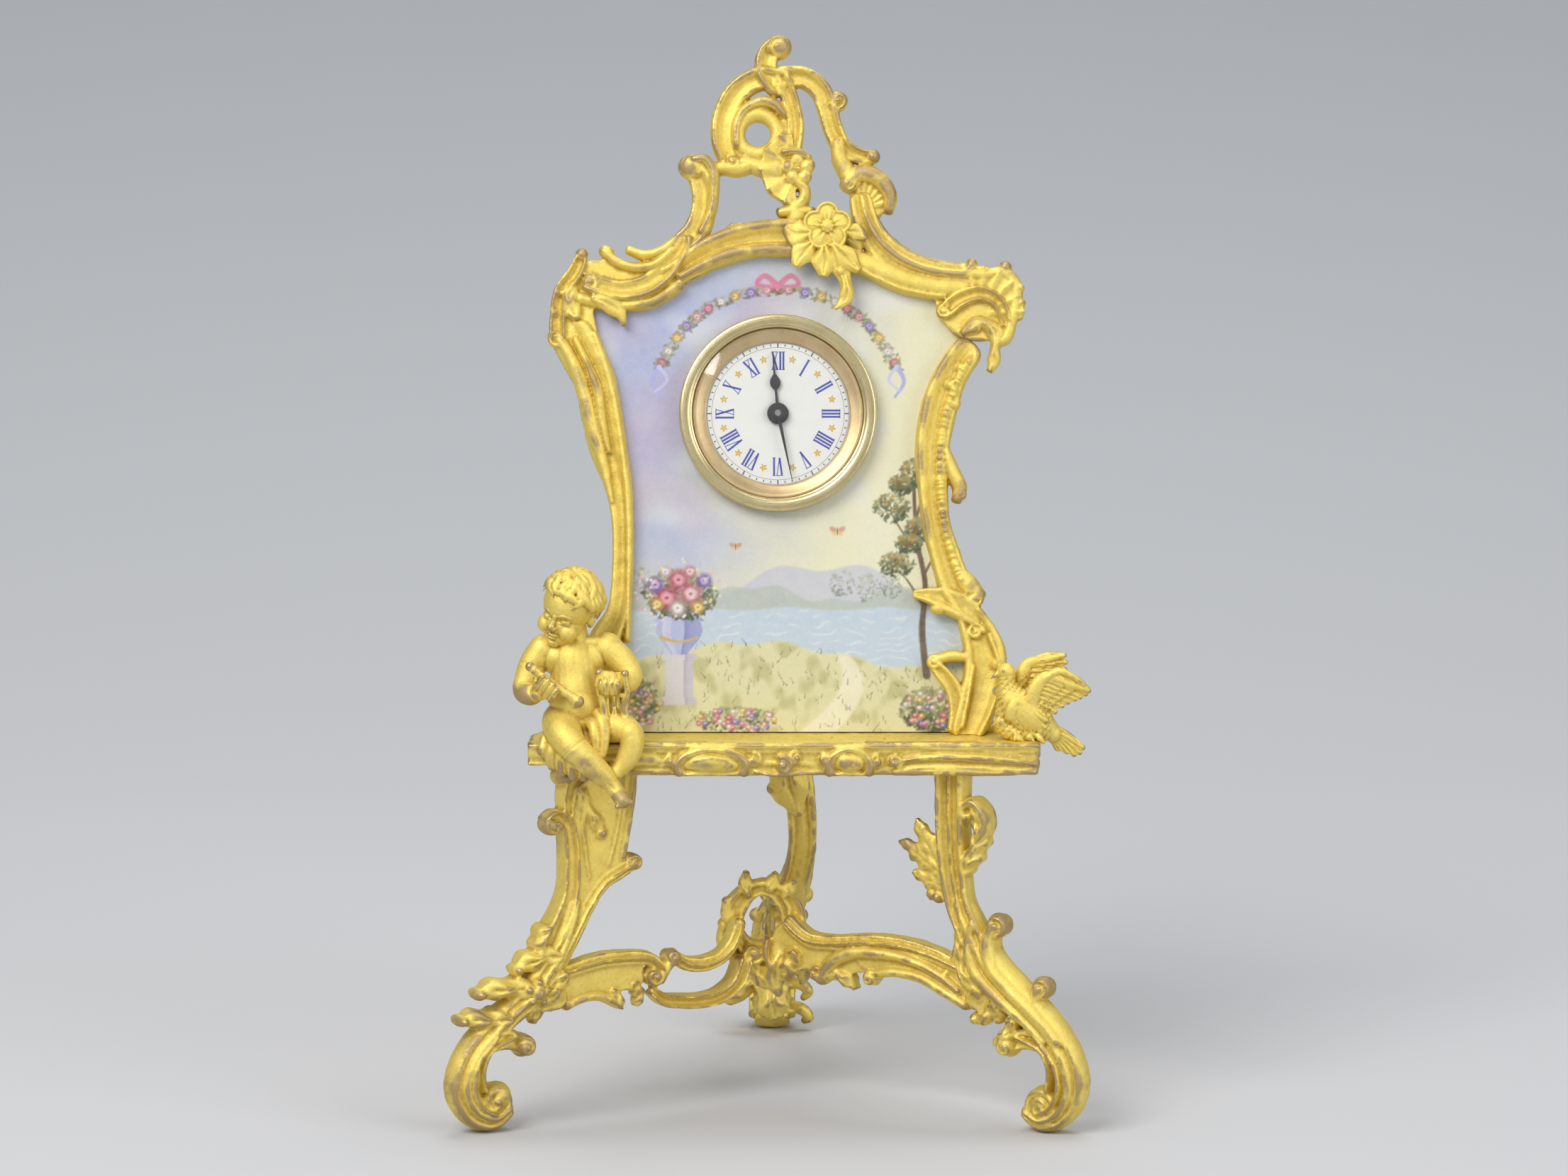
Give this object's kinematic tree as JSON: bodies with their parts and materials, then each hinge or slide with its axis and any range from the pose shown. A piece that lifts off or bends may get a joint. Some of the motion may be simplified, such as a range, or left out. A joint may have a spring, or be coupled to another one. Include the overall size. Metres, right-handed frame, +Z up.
{
  "type": "boudoir clock",
  "caption": "Gilt rocaille boudoir clock: a leaning enamel panel with a round dial, on a shelf with a seated child and doves, over scroll legs.",
  "frame": {"origin": "on the floor under the middle of the bounding box", "axes": "+Z up, -Y towards the viewer of the dial, +X to that viewer's right"},
  "size_m": [0.1272, 0.111, 0.2115],
  "materials": {
    "gilt": "satin mercury gilding, rubbed brown in the hollows",
    "bright_gilt": "polished",
    "enamel": "glossy painted enamel on copper",
    "dial_enamel": "glossy white enamel",
    "clear_glass": "clear",
    "dark_steel": "blued",
    "steel": "polished",
    "plain_brass": "satin"
  },
  "bodies": {
    "case": {"left_leg": "gilt", "right_leg": "gilt", "rear_leg": "gilt", "stretcher": "gilt", "stretcher_pins": "steel", "shelf": "gilt", "panel_frame": "gilt", "crest": "gilt", "flower_spray": "gilt", "cherub": "gilt", "dove": "gilt", "enamel_panel": "enamel", "back_plate": "plain_brass", "bezel": "bright_gilt", "glass": "clear_glass", "sight_ring": "gilt", "dial": "dial_enamel", "drum": "plain_brass", "drum_back": "plain_brass", "front_plate": "plain_brass", "rear_plate": "plain_brass", "pillars": "plain_brass", "click_spring": "steel", "balance_cock": "plain_brass", "leg_screws": "steel", "frame_screws": "steel", "panel_screws": "steel", "figure_screws": "steel", "crest_screws": "steel", "drum_screws": "steel", "plate_screws": "steel", "cock_screw": "steel", "click_screw": "steel"},
    "minute_work": {"minute_hand": "dark_steel", "hand_collet": "dark_steel", "centre_arbor": "steel", "cannon_pinion": "steel", "set_knob": "plain_brass"},
    "hour_work": {"hour_hand": "dark_steel", "hour_wheel": "plain_brass"},
    "motion_wheel": {"minute_wheel": "plain_brass"},
    "barrel_drum": {"barrel": "plain_brass", "barrel_cover": "plain_brass", "mainspring": "steel"},
    "winding_work": {"barrel_arbor": "steel", "ratchet_wheel": "steel", "winding_key": "plain_brass"},
    "click_pawl": {"click": "steel"},
    "centre": {"centre_wheel": "plain_brass"},
    "third": {"third_wheel": "plain_brass"},
    "fourth": {"fourth_wheel": "plain_brass"},
    "escape": {"escape_wheel": "steel"},
    "lever": {"pallet_fork": "steel"},
    "balance": {"balance_wheel": "plain_brass", "hairspring": "steel"},
    "rate_lever": {"regulator": "steel"}
  },
  "joints": [
    {"name": "minute_turn", "type": "hinge", "parent": "case", "child": "minute_work", "pos_m": [0.0023, -0.01805, 0.13729], "axis": [0, 0.9781, -0.2079], "continuous": true},
    {"name": "hour_turn", "type": "hinge", "parent": "case", "child": "hour_work", "pos_m": [0.0023, -0.01805, 0.13729], "axis": [0, 0.9781, -0.2079], "continuous": true},
    {"name": "motion_turn", "type": "hinge", "parent": "case", "child": "motion_wheel", "pos_m": [-0.00109, -0.01734, 0.14061], "axis": [0, 0.9781, -0.2079], "continuous": true},
    {"name": "barrel_turn", "type": "hinge", "parent": "case", "child": "barrel_drum", "pos_m": [-0.0048, -0.01859, 0.13476], "axis": [0, 0.9781, -0.2079], "continuous": true},
    {"name": "winding_turn", "type": "hinge", "parent": "case", "child": "winding_work", "pos_m": [-0.0048, -0.01859, 0.13476], "axis": [0, 0.9781, -0.2079], "range_deg": [0, 1800]},
    {"name": "click_swing", "type": "hinge", "parent": "case", "child": "click_pawl", "pos_m": [-0.00564, -0.0176, 0.13938], "axis": [0, -0.9781, 0.2079], "range_deg": [0, 7], "stiffness_Nm_per_rad": 0.0002},
    {"name": "centre_turn", "type": "hinge", "parent": "case", "child": "centre", "pos_m": [0.0023, -0.01805, 0.13729], "axis": [0, 0.9781, -0.2079], "continuous": true},
    {"name": "third_turn", "type": "hinge", "parent": "case", "child": "third", "pos_m": [0.00554, -0.01688, 0.14278], "axis": [0, 0.9781, -0.2079], "continuous": true},
    {"name": "fourth_turn", "type": "hinge", "parent": "case", "child": "fourth", "pos_m": [0.01052, -0.01748, 0.13996], "axis": [0, 0.9781, -0.2079], "continuous": true},
    {"name": "escape_turn", "type": "hinge", "parent": "case", "child": "escape", "pos_m": [0.01007, -0.01856, 0.13487], "axis": [0, 0.9781, -0.2079], "continuous": true},
    {"name": "lever_swing", "type": "hinge", "parent": "case", "child": "lever", "pos_m": [0.00808, -0.01915, 0.13209], "axis": [0, 0.9781, -0.2079], "range_deg": [-4, 4]},
    {"name": "balance_swing", "type": "hinge", "parent": "case", "child": "balance", "pos_m": [0.00584, -0.01982, 0.12897], "axis": [0, 0.9781, -0.2079], "range_deg": [-220, 220], "stiffness_Nm_per_rad": 0.00000067},
    {"name": "regulator_swing", "type": "hinge", "parent": "case", "child": "rate_lever", "pos_m": [0.00584, -0.01982, 0.12897], "axis": [0, 0.9781, -0.2079], "range_deg": [-15, 15]}
  ],
  "couplings": [
    {"joint": "motion_turn", "follows": "minute_turn", "ratio": -0.33333},
    {"joint": "hour_turn", "follows": "minute_turn", "ratio": 0.083333},
    {"joint": "centre_turn", "follows": "third_turn", "ratio": -0.125},
    {"joint": "barrel_turn", "follows": "third_turn", "ratio": 0.020833},
    {"joint": "fourth_turn", "follows": "third_turn", "ratio": -7.5},
    {"joint": "escape_turn", "follows": "third_turn", "ratio": 75}
  ]
}
